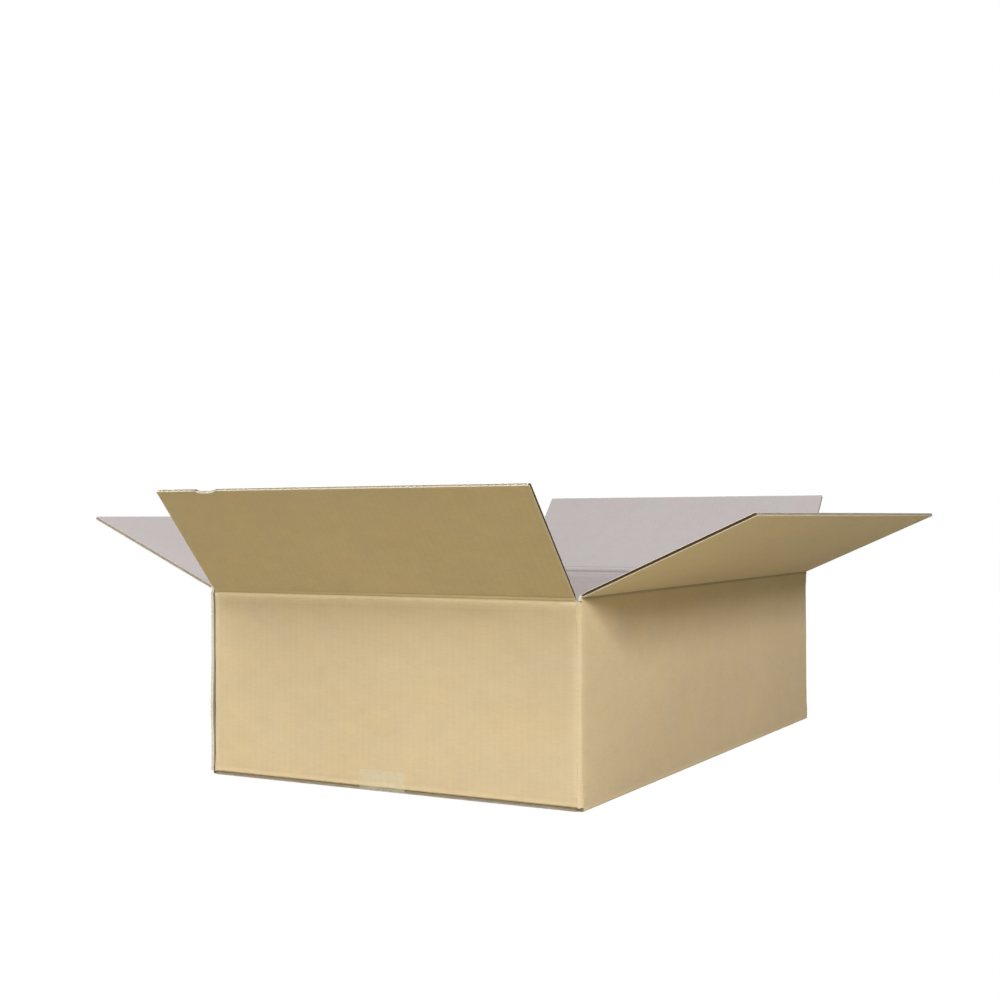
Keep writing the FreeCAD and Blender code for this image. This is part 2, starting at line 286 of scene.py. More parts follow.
def board_along(side, base, facing, low, high, heights, shares, sizes, relief, rub, end=None,
                way=1.0, recess_by=1.0, core=SHADED_FLUTES):
    """Board carried along a path in its side's out-and-up plane. A point is the path's point, less
    its depth times the path's facing, and lies across the side between low and high. relief gives
    how far the two faces stand out, and rub the paper's scuffs, painted highlights and painted shade.
    With end, the last station is a free edge, which closes in to the space between the liners and
    goes back by the end recess, and end gives how far the outside liner is torn back and how deep the
    board is nicked. way is 1 where the path climbs and -1 where it goes down. recess_by scales the
    recess of the side edges, and where it is nearly nothing they are plain cut paper."""
    board, liner = sizes.board, sizes.liner
    keep_apart, closed, deep_nick = 1e-3, 0.02, 0.0006
    share, depth, recess, paint = outline(shares, board, liner, core)
    stations, count = len(base), len(share)
    opened = np.broadcast_to(recess_by, (stations,))
    across = low[:, None] + share * (high - low)[:, None] + recess * opened[:, None] * sizes.side_recess
    outer_half = depth < board / 2
    outside, inside = relief(heights[:, None], across)
    deep = depth + np.where(outer_half, -outside, inside)
    back = np.zeros_like(across)
    rings = np.arange(stations)
    if end is not None:
        torn, nick = end(across[-1])
        tear = np.where(outer_half, torn, 0.0) + nick
        short_of = np.abs(heights[-1] - heights)[:, None]
        back = np.maximum(tear - short_of * (1 - keep_apart), 0.0)
        gap = sizes.side_recess + WAVE_MARGIN
        held = np.clip(across[-1], low[-1] + gap, high[-1] - gap)
        between = np.clip(deep[-1], liner, board - liner)
        across = np.vstack([across, held, held])
        deep = np.vstack([deep, between, between])
        back = np.vstack([back, tear, np.maximum(nick + sizes.end_recess, tear)])
        rings = np.append(rings, [stations - 1, stations - 1])
    base, facing = base[rings], facing[rings]
    along = way * np.stack([-facing[:, 1], facing[:, 0]], axis=-1)
    out = base[:, :1] - back * along[:, :1] - deep * facing[:, :1]
    up = base[:, 1:] - back * along[:, 1:] - deep * facing[:, 1:]
    level = heights[rings][:, None] - way * back
    points = on_side(side, out, up, across).reshape(-1, 3)
    place = on_blank(side, across, level).reshape(-1, 3)
    rows = len(rings)
    grid = np.arange(rows * count).reshape(rows, count)
    faces = quads(np.hstack([grid, grid[:, :1]])).tolist()
    faces += [grid[0].tolist(), grid[-1].tolist()]
    colour = np.tile(paint, (rows - 1, 1))
    plain = (opened[rings] < closed)[:-1]
    colour[np.ix_(plain, paint == core)] = CUT
    last = CUT
    if end is not None:
        colour[-2] = CUT
        colour[-1] = np.where(nick > deep_nick, CUT, FLUTE_ENDS)
        last = FLUTE_ENDS
    colour = np.append(colour.ravel(), [CUT, last])
    return points, faces, colour, place, rub(level, across).ravel()


def fluting(side, base, facing, low, high, height, sizes, seed, end, way=1.0):
    """Waved sheet between the liners at a free edge: its depth is half the board plus a sine of the
    place across, whose height and beat wander a little. It goes back where the board is nicked."""
    thick, slack, tip = 0.00025, 0.00004, 0.00015
    root = sizes.end_recess - 0.00005
    gap = sizes.side_recess + WAVE_MARGIN
    across = np.linspace(low + gap, high - gap, int((high - low) / sizes.flute * 12))
    room = (sizes.board - 2 * sizes.liner - thick) / 2 - slack
    swing = room * (0.93 + 0.07 * wander(across, seed))
    beat = 2 * math.pi * across / sizes.flute + 0.35 * wander(across * 0.7, seed + 1)
    middle = sizes.board / 2 + swing * np.sin(beat)
    along = way * np.array([-facing[1], facing[0]])
    back = np.array([[root], [tip]]) + end(across)[1]
    sheets = []
    for step in (-thick / 2, thick / 2):
        deep = np.broadcast_to(middle + step, (2, len(across)))
        out = base[0] - back * along[0] - deep * facing[0]
        up = base[1] - back * along[1] - deep * facing[1]
        sheets.append(on_side(side, out, up, np.broadcast_to(across, deep.shape)))
    points, faces, paint = slab(*sheets)
    place = np.tile(on_blank(side, across, np.full(len(across), height)), (4, 1))
    return points, faces, np.full(len(paint), FLUTE_ENDS), place, np.zeros(len(points))


def joined(*shells):
    """One mesh from several shells: their points in a row, with the face numbers moved on."""
    points, faces, paint, place, wear_and_painted_light = [], [], [], [], []
    start = 0
    for shell in shells:
        points.append(shell[0])
        faces += [[corner + start for corner in face] for face in shell[1]]
        paint.append(shell[2])
        place.append(shell[3])
        wear_and_painted_light.append(shell[4])
        start += len(shell[0])
    return np.vstack(points), faces, np.concatenate(paint), np.vstack(place), np.concatenate(wear_and_painted_light)


def make_piece(name, shell, materials):
    """Object from a shell, with its place on the blank and its rub, which holds scuffs, painted
    highlights and painted shade, as attributes, and its faces turned outwards."""
    points, faces, paint, place, wear_and_painted_light = shell
    mesh = bpy.data.meshes.new(name)
    mesh.from_pydata(points.tolist(), [], faces)
    mesh.polygons.foreach_set("material_index", paint.astype(np.int32))
    spot = mesh.attributes.new("blank_place", "FLOAT_VECTOR", "POINT")
    spot.data.foreach_set("vector", place.astype(np.float32).ravel())
    scuffs_and_painted_light = mesh.attributes.new("rub", "FLOAT", "POINT")
    scuffs_and_painted_light.data.foreach_set("value", wear_and_painted_light.astype(np.float32))
    work = bmesh.new()
    work.from_mesh(mesh)
    bmesh.ops.remove_doubles(work, verts=work.verts, dist=1e-7)
    bmesh.ops.recalc_face_normals(work, faces=work.faces)
    work.to_mesh(mesh)
    work.free()
    mesh.shade_smooth()
    mesh.set_sharp_from_angle(angle=math.radians(38))
    for material in materials:
        mesh.materials.append(material)
    piece = bpy.data.objects.new(name, mesh)
    bpy.context.scene.collection.objects.link(piece)
    return piece


def new_material(name):
    """Empty node material with its output and a Principled shader joined up."""
    material = bpy.data.materials.new(name)
    material.use_nodes = True
    tree = material.node_tree
    tree.nodes.clear()
    output = tree.nodes.new("ShaderNodeOutputMaterial")
    shader = tree.nodes.new("ShaderNodeBsdfPrincipled")
    tree.links.new(shader.outputs["BSDF"], output.inputs["Surface"])
    return material, tree, shader


def put(tree, kind, inputs, **settings):
    """Node of a kind with its settings, whose inputs are values or other sockets."""
    made = tree.nodes.new("ShaderNode" + kind)
    for name, value in settings.items():
        setattr(made, name, value)
    for name, value in inputs.items():
        socket = made.inputs[name]
        if isinstance(value, bpy.types.NodeSocket):
            tree.links.new(value, socket)
        else:
            socket.default_value = value
    return made


def noise(tree, place, stretch, scale, detail=3.0, rough=0.55, shift=(0, 0, 0)):
    """Noise on the blank's own coordinates, stretched along it; gives a value round a half."""
    moved = put(tree, "Mapping", {"Vector": place, "Scale": stretch, "Location": shift})
    made = put(tree, "TexNoise", {
        "Vector": moved.outputs["Vector"], "Scale": scale, "Detail": detail, "Roughness": rough})
    return made.outputs["Fac"]


def ranged(tree, value, low, high, to_low, to_high):
    """Value moved smoothly from one range to another."""
    made = put(tree, "MapRange", {
        "Value": value, "From Min": low, "From Max": high, "To Min": to_low, "To Max": to_high})
    return made.outputs["Result"]


def maths(tree, operation, first, second):
    """Two values added, multiplied or otherwise joined."""
    return put(tree, "Math", {0: first, 1: second}, operation=operation).outputs[0]


def varied(tree, light, value, by):
    """Brightness times 1 less a part to 1 plus it, as a noise goes up through its middle."""
    return maths(tree, "MULTIPLY", light, ranged(tree, value, 0.3, 0.7, 1 - by, 1 + by))


def mixed(tree, share, first, second, kind="MIX"):
    """Two colours mixed by a share."""
    made = put(tree, "Mix", {0: share, 6: first, 7: second}, data_type="RGBA", blend_type=kind)
    return made.outputs[2]


def shade(colour, by):
    """Colour with an alpha, each part multiplied by the same number or by its own."""
    scaled = np.clip(np.array(colour[:3]) * np.array(by), 0, 1)
    return (*scaled.tolist(), 1.0)


def paper_material(name, colour, sizes, tints, mottle, fleck, scuff_and_highlight_tint):
    """Paper liner: broad mottling, cloudy blotches, fibres along the blank, fine specks, the faint
    ribs of the fluting below, paler paper where the rub attribute is above 0, which is scuffs at edges
    and folds and painted highlights along the creases and upright folds, and darker paper where it is
    below, which is painted shade in the creases."""
    material, tree, shader = new_material(name)
    place = put(tree, "Attribute", {}, attribute_name="blank_place").outputs["Vector"]
    rub = put(tree, "Attribute", {}, attribute_name="rub").outputs["Fac"]
    broad = noise(tree, place, (1, 1, 1), 7.0, 2.0)
    cloud = noise(tree, place, (1, 1.6, 1), 42.0, 4.0, 0.6)
    tint = noise(tree, place, (1, 1, 1), 24.0, 3.0, 0.5, (3.1, 7.7, 0))
    fibre = noise(tree, place, (90, 900, 1), 1.0, 4.0, 0.65)
    speck = noise(tree, place, (1, 1, 1), 1500.0, 1.0, 0.5)
    rib = put(tree, "TexWave", {
        "Vector": place, "Scale": 2 * math.pi / (20 * sizes.flute), "Distortion": 0.6,
        "Detail": 1.0, "Detail Scale": 4.0}, wave_type="BANDS", bands_direction="X").outputs["Fac"]
    warmth = ranged(tree, tint, 0.35, 0.65, 0, 1)
    base = mixed(tree, warmth, shade(colour, tints[0]), shade(colour, tints[1]))
    light = 1.0
    for value, by in ((broad, mottle), (cloud, mottle), (fibre, 0.035)):
        light = varied(tree, light, value, by)
    light = maths(tree, "MULTIPLY", light, ranged(tree, rib, 0, 1, 0.993, 1.007))
    light = maths(tree, "SUBTRACT", light, ranged(tree, speck, 0.66, 0.74, 0, fleck))
    # Painted shade: paper darkened where the attribute is below 0, along the creases
    pressed = maths(tree, "ADD", maths(tree, "MINIMUM", rub, 0.0), 1.0)
    light = maths(tree, "MULTIPLY", light, pressed)
    toned = mixed(tree, 1.0, base, light, "MULTIPLY")
    # Paler paper: scuffs at edges and folds, and painted highlights along the creases and upright folds
    patchy = maths(tree, "MULTIPLY", rub, ranged(tree, fibre, 0.35, 0.6, 0.6, 1.0))
    final = mixed(tree, patchy, toned, shade(colour, scuff_and_highlight_tint))
    tree.links.new(final, shader.inputs["Base Color"])
    worn = ranged(tree, cloud, 0.3, 0.7, 0.7, 0.86)
    tree.links.new(maths(tree, "SUBTRACT", worn, maths(tree, "MULTIPLY", rub, 0.05)),
                   shader.inputs["Roughness"])
    shader.inputs["Specular IOR Level"].default_value = 0.2
    height = maths(tree, "ADD", maths(tree, "MULTIPLY", fibre, 0.5), maths(tree, "MULTIPLY", rib, 0.35))
    height = maths(tree, "ADD", height, maths(tree, "MULTIPLY", cloud, 0.4))
    bump = put(tree, "Bump", {"Height": height, "Strength": 0.55, "Distance": 0.00016})
    tree.links.new(bump.outputs["Normal"], shader.inputs["Normal"])
    return material


def edge_material(name, colour, rough_scale, spread_by):
    """Cut or fluted paper: streaks along the cut, fine torn fibres and a rough, dry surface."""
    material, tree, shader = new_material(name)
    place = put(tree, "TexCoord", {}).outputs["Object"]
    streak = noise(tree, place, (1, 1, 3), rough_scale, 4.0, 0.7)
    fuzz = noise(tree, place, (1, 1, 1), rough_scale * 6, 2.0, 0.6)
    light = varied(tree, varied(tree, 1.0, streak, spread_by), fuzz, 0.07)
    tree.links.new(mixed(tree, 1.0, shade(colour, 1.0), light, "MULTIPLY"), shader.inputs["Base Color"])
    tree.links.new(ranged(tree, fuzz, 0.3, 0.7, 0.82, 0.95), shader.inputs["Roughness"])
    shader.inputs["Specular IOR Level"].default_value = 0.2
    bump = put(tree, "Bump", {"Height": fuzz, "Strength": 0.5, "Distance": 0.0002})
    tree.links.new(bump.outputs["Normal"], shader.inputs["Normal"])
    return material


def tape_material(colour):
    """Clear film: a thin pale tint, long stretch lines, milky patches where air is caught, gloss."""
    material, tree, shader = new_material("clear_tape")
    place = put(tree, "TexCoord", {}).outputs["Object"]
    lines = noise(tree, place, (900, 12, 12), 1.0, 3.0, 0.6)
    air = noise(tree, place, (1, 0.5, 1), 60.0, 4.0, 0.6, (0.4, 0, 0))
    tint = mixed(tree, ranged(tree, lines, 0.35, 0.65, 0, 1), shade(colour, 0.94), shade(colour, 1.06))
    tree.links.new(tint, shader.inputs["Base Color"])
    tree.links.new(ranged(tree, air, 0.42, 0.66, 0.13, 0.22), shader.inputs["Alpha"])
    tree.links.new(ranged(tree, lines, 0.3, 0.7, 0.1, 0.22), shader.inputs["Roughness"])
    shader.inputs["Specular IOR Level"].default_value = 0.75
    height = maths(tree, "ADD", maths(tree, "MULTIPLY", lines, 0.3), air)
    bump = put(tree, "Bump", {"Height": height, "Strength": 0.12, "Distance": 0.0006})
    tree.links.new(bump.outputs["Normal"], shader.inputs["Normal"])
    return material


def board_materials(scene):
    """The finishes of the board, made once, in the order of their numbers."""
    names = ("kraft_outside", "liner_inside", "cut_paper", "fluting_paper", "flute_ends",
             "pressed_edge")
    if all(name in bpy.data.materials for name in names):
        return [bpy.data.materials[name] for name in names]
    colours, sizes = scene.carton_colours, scene.carton_sizes
    warm, cool = (1.012, 1.0, 0.97), (0.99, 1.0, 1.025)
    return [
        # The last tints give the pale colour of scuffs and of painted highlights
        paper_material(names[0], colours.kraft, sizes, (warm, cool), 0.03, 0.1, (1.5, 1.54, 1.66)),
        paper_material(names[1], colours.inside, sizes, ((1.01, 0.99, 1.0), (0.98, 1.01, 1.01)),
                       0.02, 0.07, (1.22, 1.22, 1.22)),
        edge_material(names[2], colours.cut, 300.0, 0.12),
        # The fluting's dark colour is painted shade of the recessed flutes
        edge_material(names[3], colours.fluting, 220.0, 0.18),
        edge_material(names[4], colours.flute_end, 260.0, 0.15),
        edge_material(names[5], colours.pressed, 150.0, 0.25),
    ]


def half_size(side):
    """Distance from the middle of the box to the outer face of one side."""
    return HALF_WIDTH if side in LONG_SIDES else HALF_LENGTH


def path_length(points):
    """Length of a path up to each of its points: the running sum of the steps between them."""
    return np.concatenate([[0], np.cumsum(np.linalg.norm(np.diff(points, axis=0), axis=1))])


def fold(side, heights, lean, reach):
    """Path over a crease: a point stays upright below the fold and turns about the hinge by the lean
    times a smooth step of its height over the reach, so the path leans out above it. Gives points and
    facings in the side's out-and-up plane."""
    x, y, level = CREASES[side]
    hinge = max(abs(x), abs(y))
    turn = lean * smooth((heights - level + reach) / (2 * reach))
    inset, rise = half_size(side) - hinge, heights - level
    out = hinge + inset * np.cos(turn) + rise * np.sin(turn)
    up = level - inset * np.sin(turn) + rise * np.cos(turn)
    return np.stack([out, up], axis=-1), np.stack([np.cos(turn), -np.sin(turn)], axis=-1)


def flap_facts(side, sizes):
    """Lean and length of a flap, and the spans across of the flap and of the wall below it."""
    low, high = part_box(side + "_flap")
    if side in LONG_SIDES:
        wall = (-HALF_LENGTH + sizes.corner, HALF_LENGTH - sizes.corner)
        return sizes.long_lean, sizes.long_flap, (low.y, high.y), wall
    return sizes.short_lean, sizes.short_flap, (low.x, high.x), (low.x, high.x)


def second_line(side, across):
    """Strength of the second pressed line on a flap, from 0 to about 1 along the crease. On the
    front flap it grows from nothing at its left end."""
    if side == "front":
        return smooth((across + 0.17) / 0.3) * (0.9 + 0.1 * wander(across * 1.4, 5.0))
    return 0.75 + 0.25 * wander(across * 1.4, len(side))


def crease_relief(side, level):
    """How far each face stands out near a crease. Outside: a step in at the fold that dies away as
    e to the minus distance, slowly on the wall and fast on the flap, and a second pressed line on the
    flap. Inside: a pressed line on the wall and on the flap, and the fold between them crushed
    thinner, by most of the board on the short sides, so that a shut long flap can pass, and by little
    on the long ones, beside a rounded ridge. All fade out at the band's rim."""
    strength = {"front": 1.0, "back": 1.0, "right": 0.75, "left": 0.8}[side]
    crush, ridge = (0.0005, 0.0004) if side in LONG_SIDES else (0.0019, 0.0)
    wall_line, flap_line, inner_line = -0.0046, 0.0046, 0.0038
    rim, rim_fade = 0.0079, 0.0025

    def relief(height, across):
        t = height - level
        fade = strength * smooth((rim - np.abs(t)) / rim_fade)
        second = second_line(side, across)
        decay = np.where(t < 0, np.exp(t / 0.0022), np.exp(-t / 0.0006))
        outside = -0.0002 * decay * (0.9 + 0.1 * wander(across * 3, 2.0))
        outside = outside - 0.0002 * hump(t, 0.0003, 0.0006)
        outside = outside - 0.0004 * second * hump(t, flap_line, 0.0008)
        inside = ridge * hump(t, -0.0014, 0.0013) - crush * hump(t, 0.0, 0.0024)
        inside = inside - 0.00045 * second * hump(t, wall_line, 0.0011)
        inside = inside - 0.0004 * second * hump(t, inner_line, 0.0011)
        return fade * outside, fade * inside

    return relief


def crease_scuffs_and_painted_light(side, level, span):
    """Paleness and darkness of the paper near a crease, below 0 where it is darker: a painted highlight
    as a pale lip that dies away down the wall and a pale strip up to the second line, painted shade as
    two dark lines, and scuffed ends of the fold."""
    lip, strip, dark, dark_at, dark_width = FRONT_CREASE_PAINTED_LIGHT if side == "front" else OTHER_CREASE_PAINTED_LIGHT

    def rub(height, across):
        t = height - level
        second = second_line(side, across)
        uneven = 0.85 + 0.15 * wander(across * 2.2, 5.0)
        # Painted highlights: the pale lip below the fold and the pale strip up to the second line
        pale = lip * np.exp(np.minimum(t - 0.0002, 0.0) / 0.0026) * smooth((0.0007 - t) / 0.0005)
        pale = pale + strip * second * smooth((t - 0.001) / 0.0008) * smooth((0.0043 - t) / 0.0008)
        # Painted shade: the dark lines in the crease, counted below 0
        pressed = dark * hump(t, dark_at, dark_width) + 0.2 * second * hump(t, 0.0047, 0.0006)
        ends = 0.2 * np.maximum(hump(across, span[0], 0.0025), hump(across, span[1], 0.0025))
        return pale * uneven - pressed + ends * hump(t, 0.0, 0.004)

    return rub


def edge_rub(low, high, free):
    """Rub that is a quarter at the side edges and the free edge and fades over a millimetre or two."""

    def rub(height, across):
        sides = np.maximum(hump(across, low, 0.0011), hump(across, high, 0.0011))
        return 0.25 * np.maximum(sides, hump(height, free, 0.0012))

    return rub


def flap_bow(start, end, span, hollow):
    """Bow of a flap, hollow outside: half a sine from its crease band to its free edge, times the
    square of half a sine across it."""

    def relief(height, across):
        run = np.clip((height - start) / (end - start), 0, 1)
        over = np.sin(math.pi * (across - span[0]) / (span[1] - span[0])) ** 2
        bow = hollow * np.sin(math.pi * run) * np.clip(over, 0, 1)
        return -bow, bow

    return relief


def torn_edge(ragged, seed, nicked=False):
    """How far a free edge's outside liner is torn back, a wandering line up to twice the ragged
    size, and how deep the board is nicked: nowhere, or once near the left end."""
    nick_left, nick_right, steep, gentle = -0.1412, -0.1182, 0.0016, 0.006

    def end(across):
        torn = ragged + ragged * wander(across * 20, seed)
        if not nicked:
            return torn, 0 * across
        nick = smooth((across - nick_left) / steep) * smooth((nick_right - across) / gentle)
        return torn + 0.0008 * nick, 0.0019 * nick

    return end


class CARTON_OT_walls(bpy.types.Operator):
    """Build the four walls as one sheet round the corners, with the glue tab inside the left wall"""

    bl_idname = "carton.walls"
    bl_label = "Walls and glue tab"

    def execute(self, context):
        sizes = context.scene.carton_sizes
        radius, board = sizes.corner, sizes.board
        edge_x, edge_y = HALF_WIDTH - radius, HALF_LENGTH - radius
        short_seam = CREASES["front"][2] - sizes.crease_band
        long_seam = CREASES["left"][2] - sizes.crease_band
        stub_foot, stub_top = 0.0036, 0.1698
        pinch, scuff_and_highlight_width = 0.0007, 0.0026
        end_steps = (0.0, 0.00002, 0.001, 0.0018, 0.0026, 0.003, 0.00302, 0.0036, 0.0042, 0.005,
                     0.006, 0.008, 0.012, 0.02, 0.035)
        runs = []

        def straight(start, way, facing, length, seam, bulge, lead=(), skip=0.0):
            """Straight wall: points at distances from its start, with a bow of the bulge times a half
            sine along it, drawn in a little at its folds. It keeps its full height over the skip
            from its start, where no flap hangs on it."""
            gone = np.concatenate([-np.array(lead, float), spread(length, end_steps, 30) * length])
            inner = (gone > skip + 1e-6) & (gone < length - 1e-6)
            pressed = -pinch * (hump(gone, 0.0, 0.0045) + hump(gone, length, 0.0045))
            bow = bulge * np.sin(math.pi * np.clip(gone / length, 0, 1)) ** 0.8
            # Pale stripes beside the upright folds: scuffed paper and a painted highlight on the
            # rounded folds
            near, far = hump(gone, 0.001, scuff_and_highlight_width), hump(gone, length - 0.001, scuff_and_highlight_width)
            place = np.array(start) + gone[:, None] * np.array(way)
            runs.append((place, np.tile(facing, (len(gone), 1)), np.where(inner, seam, stub_top),
                         np.where(inner, BOTTOM_SEAM, stub_foot), pressed, bow,
                         0.22 * np.maximum(near, far)))

        def corner(centre, begin):
            """Quarter circle round a fold, from one facing angle down to the next."""
            angle = math.radians(begin) - np.linspace(0, math.pi / 2, 11)[1:-1]
            facing = np.stack([np.cos(angle), np.sin(angle)], axis=-1)
            even = np.ones(len(angle))
            # Pale all round the fold: scuffed paper and a painted highlight on the rounded board
            runs.append((np.array(centre) + radius * facing, facing, stub_top * even,
                         stub_foot * even, -pinch * even, 0 * even, 0.2 * even))

        glue_x = -HALF_WIDTH + board + radius
        lead = (0.0032, 0.0028, 0.002, 0.001)
        straight((-HALF_WIDTH, -edge_y), (0, 1), (-1.0, 0.0), 2 * edge_y, long_seam, 0.0006, lead)
        corner((-edge_x, edge_y), 180)
        straight((-edge_x, HALF_LENGTH), (1, 0), (0.0, 1.0), 2 * edge_x, short_seam, -0.0007,
                 skip=board)
        corner((edge_x, edge_y), 90)
        straight((HALF_WIDTH, edge_y), (0, -1), (1.0, 0.0), 2 * edge_y, long_seam, -0.0009)
        corner((edge_x, -edge_y), 0)
        straight((edge_x, -HALF_LENGTH), (-1, 0), (0.0, -1.0), edge_x - glue_x, short_seam, -0.0006)
        corner((glue_x, -edge_y), -90)
        tab_width, tab_slope, tab_drop = 0.034, 0.01, 0.004
        tab = np.linspace(0, tab_width, 12)
        even = np.ones(len(tab))
        tab_place = np.stack([(glue_x - radius) * even, -edge_y + tab], axis=-1)
        slope = tab_slope * tab / tab_width
        runs.append((tab_place, np.tile((-1.0, 0.0), (len(tab), 1)), stub_top - slope,
                     stub_foot + tab_drop + slope, 0 * even, 0 * even, 0 * even))
        place, facing, top, low, pressed, bow, scuffs_and_painted_light = [np.concatenate(part) for part in zip(*runs)]
        flat = path_length(place)
        rows = np.linspace(0, 1, 34)
        height = low[:, None] + (top - low)[:, None] * rows
        arch = np.sin(math.pi * rows)
        dents = 0.00022 * wander(flat[:, None] * 1.1 + 4 * height, 3.0) * arch
        swell = bow[:, None] * arch + dents
        swell[-len(tab):] = 0.0
        joint_reach, joint_height = 0.02, 0.062
        open_joint = np.maximum(1 - flat / joint_reach, 0.0)[:, None] ** 2
        gape = 0.0011 * open_joint * hump(height, joint_height, 0.02)
        rise = pressed[:, None] * smooth(rows * 12) * smooth((1 - rows) * 12)
        sheets = []
        for depth, press in ((0.0, 1.0), (board, 0.6)):
            off = swell + gape + press * rise - depth
            plan = place[:, None, :] + off[:, :, None] * facing[:, None, :]
            sheets.append(np.concatenate([plan, height[:, :, None]], axis=-1))
        points, faces, paint = slab(*sheets)
        blank = np.stack([np.broadcast_to(flat[:, None], height.shape), height, 0 * height], axis=-1)
        spots = np.tile(blank.reshape(-1, 3), (2, 1))
        patch = 0.7 + 0.3 * wander(height * 4, 1.0)
        wear_and_painted_light = np.tile((scuffs_and_painted_light[:, None] * patch).ravel(), 2)
        shell = (points, faces, paint, spots, wear_and_painted_light)
        piece = make_piece("carton_walls", shell, board_materials(context.scene))
        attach(piece, "box")
        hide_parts("carton_body")
        return {"FINISHED"}


class CARTON_OT_creases(bpy.types.Operator):
    """Build the pressed band over each top fold, which bends between the box and its flap"""

    bl_idname = "carton.creases"
    bl_label = "Top creases"

    def execute(self, context):
        sizes = context.scene.carton_sizes
        band, reach = sizes.crease_band, sizes.fold_reach
        steps = np.concatenate([
            np.linspace(-band, -reach, 14)[:-1],
            np.linspace(-reach, reach, 25),
            np.linspace(reach, band, 14)[1:],
        ])
        for side in SIDES:
            lean, _, flap, wall = flap_facts(side, sizes)
            level = CREASES[side][2]
            base, facing = fold(side, level + steps, lean, reach)
            widen = smooth((steps + 0.0034) / 0.0006)
            opened = RECESS[side] * smooth((steps - 0.0005) / 0.002)
            low = wall[0] + (flap[0] - wall[0]) * widen
            high = wall[1] + (flap[1] - wall[1]) * widen
            shares = spread(flap[1] - flap[0], (0, 0.0006, 0.0016, 0.004, 0.01), 60)
            shell = board_along(side, base, facing, low, high, level + steps, shares, sizes,
                                crease_relief(side, level), crease_scuffs_and_painted_light(side, level, flap),
                                recess_by=opened, core=CORE[side])
            piece = make_piece(side + "_crease_band", shell, board_materials(context.scene))
            ends, _ = fold(side, level + np.array([-reach, reach]), lean, reach)
            marks = on_side(side, ends[:, 0], ends[:, 1], np.zeros(2))
            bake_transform(piece)
            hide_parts("carton_body")
        return {"FINISHED"}


class CARTON_OT_flaps(bpy.types.Operator):
    """Build the four top flaps with open flutes along their free edges"""

    bl_idname = "carton.flaps"
    bl_label = "Top flaps"

    def execute(self, context):
        sizes = context.scene.carton_sizes
        band = sizes.crease_band
        for number, side in enumerate(SIDES):
            lean, length, flap, _ = flap_facts(side, sizes)
            level = CREASES[side][2]
            free = level + length
            steps = band + spread(length - band, (0, 0.0008, 0.002, 0.005), 18) * (length - band)
            base, facing = fold(side, level + steps, lean, sizes.fold_reach)
            low = np.full(len(steps), flap[0])
            high = np.full(len(steps), flap[1])
            shares = spread(flap[1] - flap[0], (0, 0.0006, 0.0014, 0.003, 0.007, 0.014), 90)
            hollow = 0.0005 if side in LONG_SIDES else 0.0008
            end = torn_edge(0.00007, number, nicked=side == "front")
            shell = board_along(side, base, facing, low, high, level + steps, shares, sizes,
                                flap_bow(level + band, free, flap, hollow),
                                edge_rub(flap[0], flap[1], free), end=end,
                                recess_by=RECESS[side], core=CORE[side])
            waves = fluting(side, base[-1], facing[-1], flap[0], flap[1], free, sizes, number, end)
            piece = make_piece(side + "_top_flap", joined(shell, waves), board_materials(context.scene))
            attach(piece, side)
            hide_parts(side + "_flap")
        return {"FINISHED"}


def bottom_path(side):
    """Path of a bottom flap: down the wall, round a quarter circle and in to the free edge. Gives
    points, facings, heights on the flat blank and the fold's height there. The short flaps lie on
    the long ones, which meet at the middle."""
    radius, face = 0.0014, half_size(side)
    after_fold = np.array([0.0006, 0.0012, 0.002, 0.003, 0.0045, 0.007])
    if side in LONG_SIDES:
        level, stop = 0.0, 0.0005
        middle = np.linspace(face - 0.02, 0.0265, 14)
        near_end = [0.0248, 0.0243, 0.0236, 0.023, 0.012, 0.004, stop + 0.0008, stop]
    else:
        level, stop = 0.0033, 0.186
        middle = np.linspace(face - 0.02, stop + 0.006, 10)
        near_end = [stop + 0.002, stop + 0.0008, stop]
    drop = np.linspace(BOTTOM_SEAM, level + radius, 14)[:-1]
    turn = np.linspace(0, math.pi / 2, 14)
    flat = np.concatenate([face - radius - after_fold, middle, near_end])
    out = np.concatenate([np.full(len(drop), face), face - radius + radius * np.cos(turn), flat])
    up = np.concatenate([drop, level + radius - radius * np.sin(turn), np.full(len(flat), level)])
    angle = np.concatenate([0 * drop, turn, np.full(len(flat), math.pi / 2)])
    base = np.stack([out, up], axis=-1)
    facing = np.stack([np.cos(angle), -np.sin(angle)], axis=-1)
    return base, facing, BOTTOM_SEAM - path_length(base), level + radius - radius * math.pi / 4


def bottom_relief(fold_at, tape_from, tape_room):
    """How far each face stands out on a bottom flap: pressed lines at the fold and above it, room
    under the tape, and the inside of the fold crushed thinner."""

    def relief(height, across):
        t = height - fold_at
        outside = -0.00006 * hump(t, 0.0046, 0.0012) - 0.0002 * hump(t, 0.0, 0.0012)
        outside = outside - tape_room * smooth((tape_from - height) / 0.0006)
        return outside, -0.0021 * hump(t, 0.0, 0.0028)

    return relief


def bottom_fold_paleness(fold_at):
    """Paleness of about a third along the bottom fold."""

    def rub(height, across):
        return 0.3 * hump(height, fold_at + 0.001, 0.0026) + 0 * across

    return rub


